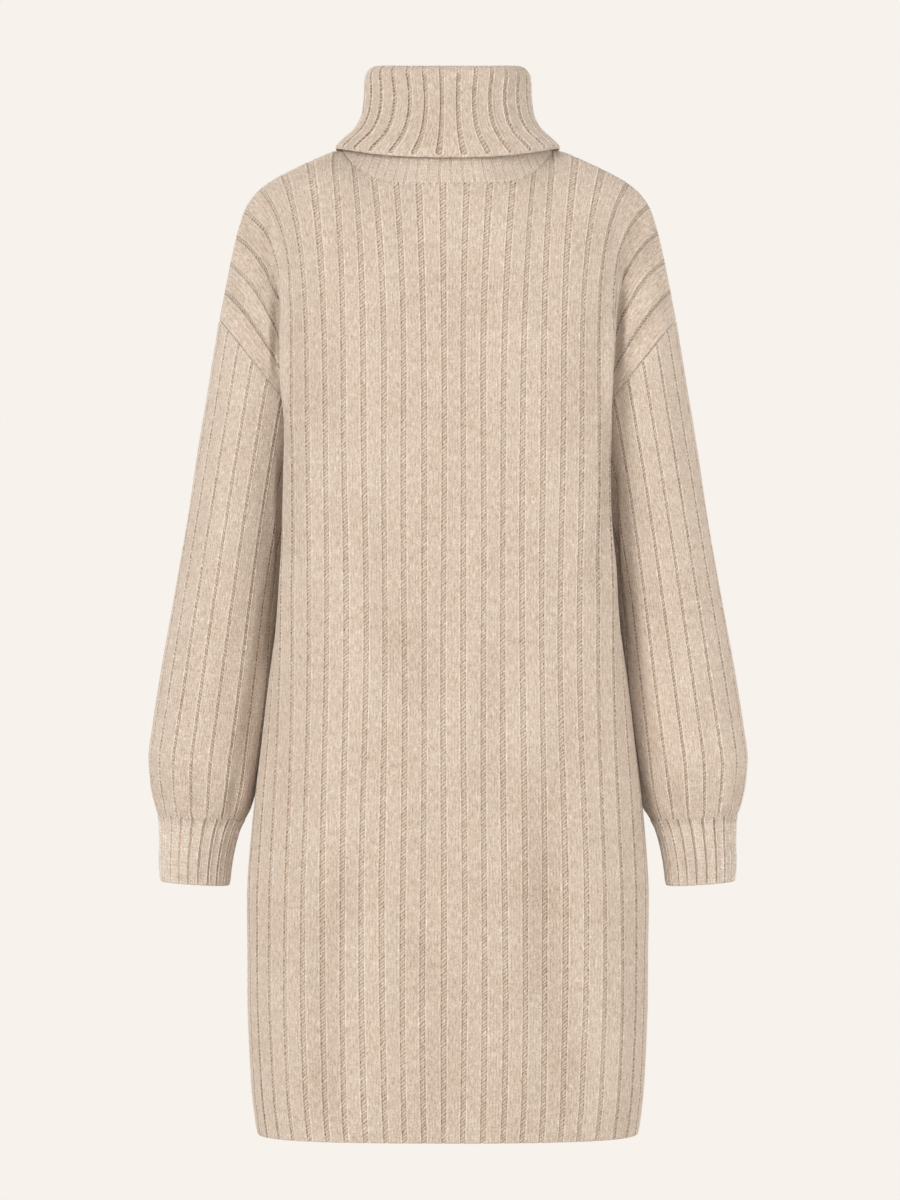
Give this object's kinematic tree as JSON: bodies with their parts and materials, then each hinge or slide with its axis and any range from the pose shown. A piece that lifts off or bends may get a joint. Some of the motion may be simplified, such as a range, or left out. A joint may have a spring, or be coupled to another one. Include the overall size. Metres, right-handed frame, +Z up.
{
  "type": "roll-neck sweater dress",
  "caption": "Rib-knit sweater dress with a folded roll neck, dropped shoulders and full sleeves, hollow and filled out as when worn.",
  "frame": {"origin": "the middle of the neck opening, level with the tops of the shoulders, where the wearer's shoulders carry the dress", "axes": "+Z up along the wearer, the wearer's front towards -Y and the wearer's left towards +X"},
  "size_m": [0.5438, 0.197, 0.9694],
  "materials": {
    "front_yarn": "matt wool rib knit, oatmeal",
    "back_yarn": "matt wool rib knit, oatmeal",
    "sleeve_left_yarn": "matt wool rib knit, oatmeal",
    "sleeve_right_yarn": "matt wool rib knit, oatmeal",
    "cuff_left_yarn": "matt wool rib knit, oatmeal",
    "cuff_right_yarn": "matt wool rib knit, oatmeal",
    "roll_neck_yarn": "matt wool rib knit, oatmeal"
  },
  "bodies": {
    "root": {"front": "front_yarn", "back": "back_yarn", "sleeve_left": "sleeve_left_yarn", "sleeve_right": "sleeve_right_yarn", "cuff_left": "cuff_left_yarn", "cuff_right": "cuff_right_yarn", "roll_neck": "roll_neck_yarn"}
  },
  "joints": []
}
